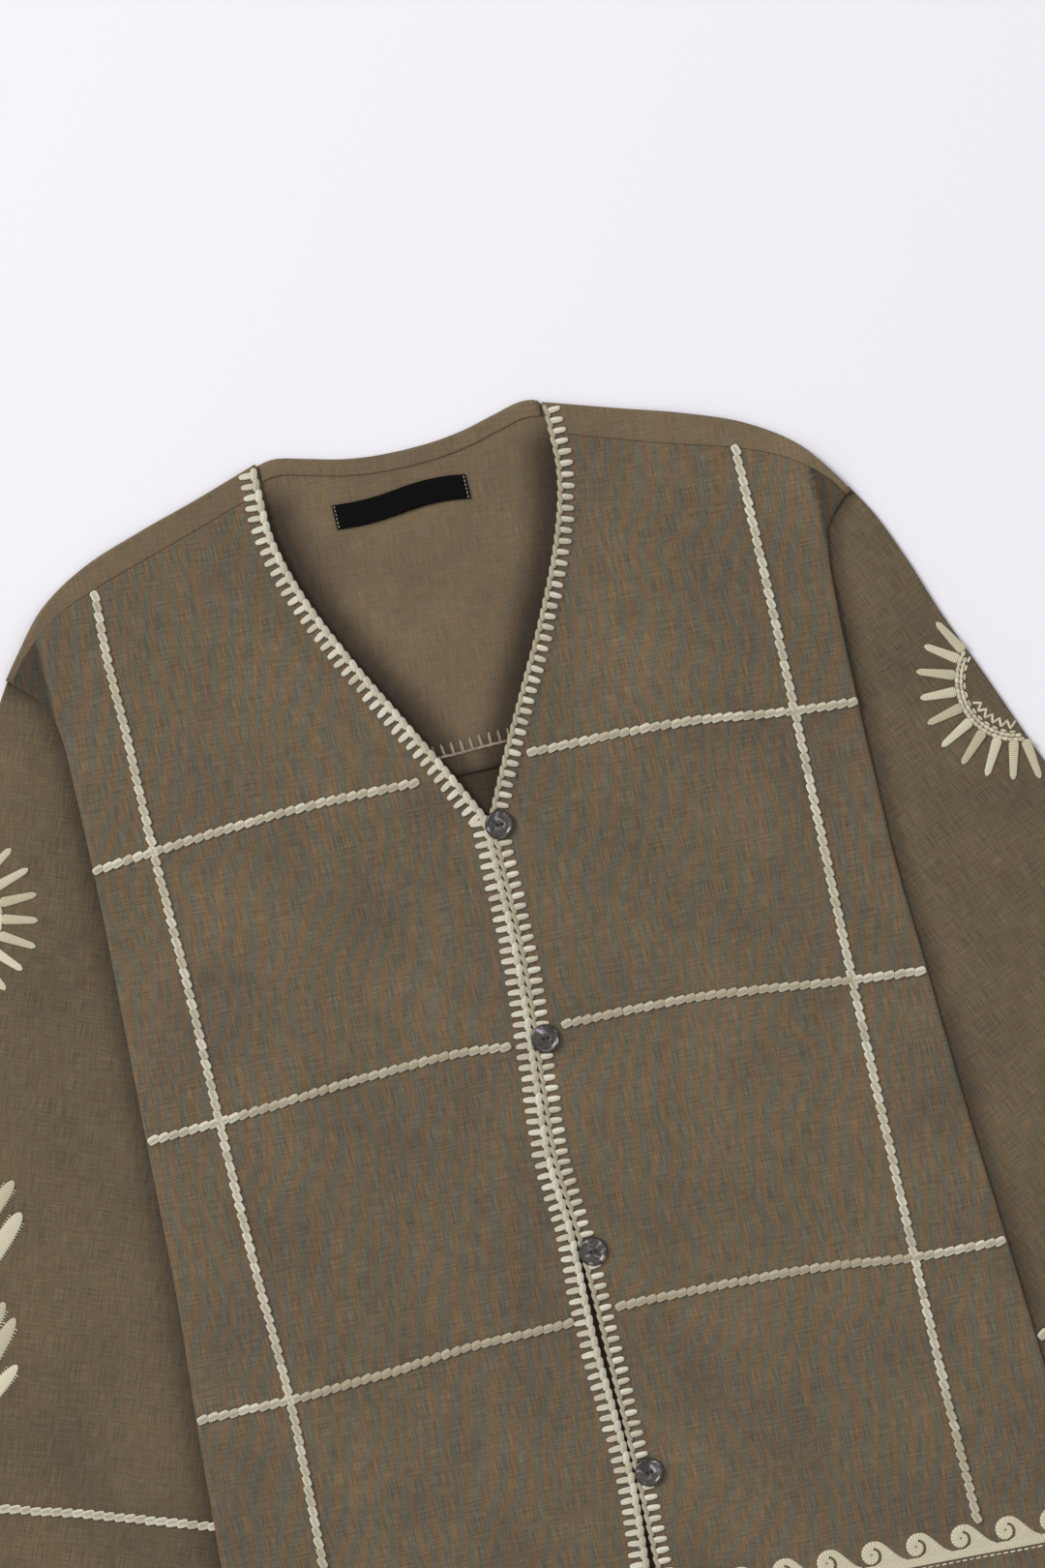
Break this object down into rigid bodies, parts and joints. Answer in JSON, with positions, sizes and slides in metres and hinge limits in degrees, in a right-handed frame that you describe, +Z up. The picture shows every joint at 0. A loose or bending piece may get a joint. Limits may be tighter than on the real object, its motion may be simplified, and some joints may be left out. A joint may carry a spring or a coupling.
{
  "type": "embroidered shirt",
  "caption": "Collarless V-neck button-front shirt with wide drop-shoulder sleeves and a back yoke that wraps over the shoulders, laid flat on its back.",
  "frame": {"origin": "on the floor under the middle of the garment's box, where the lower back rests", "axes": "+Z up from the floor, +Y towards the neck, +X towards the picture's right sleeve"},
  "size_m": [0.9786, 0.7835, 0.0099],
  "materials": {
    "linen": "plain-woven olive brown linen, matt",
    "embroidery": "twisted cream cotton yarn with a soft sheen",
    "woven_tag": "black damask-woven tag, bare",
    "shell_button": "polished dark shell"
  },
  "bodies": {
    "root": {"back_panel": "linen", "back_yoke": "linen", "neck_band": "linen", "front_left": "linen", "front_right": "linen", "sleeve_left": "linen", "sleeve_right": "linen", "label": "woven_tag", "button_1": "shell_button", "button_2": "shell_button", "button_3": "shell_button", "button_4": "shell_button"}
  },
  "joints": []
}
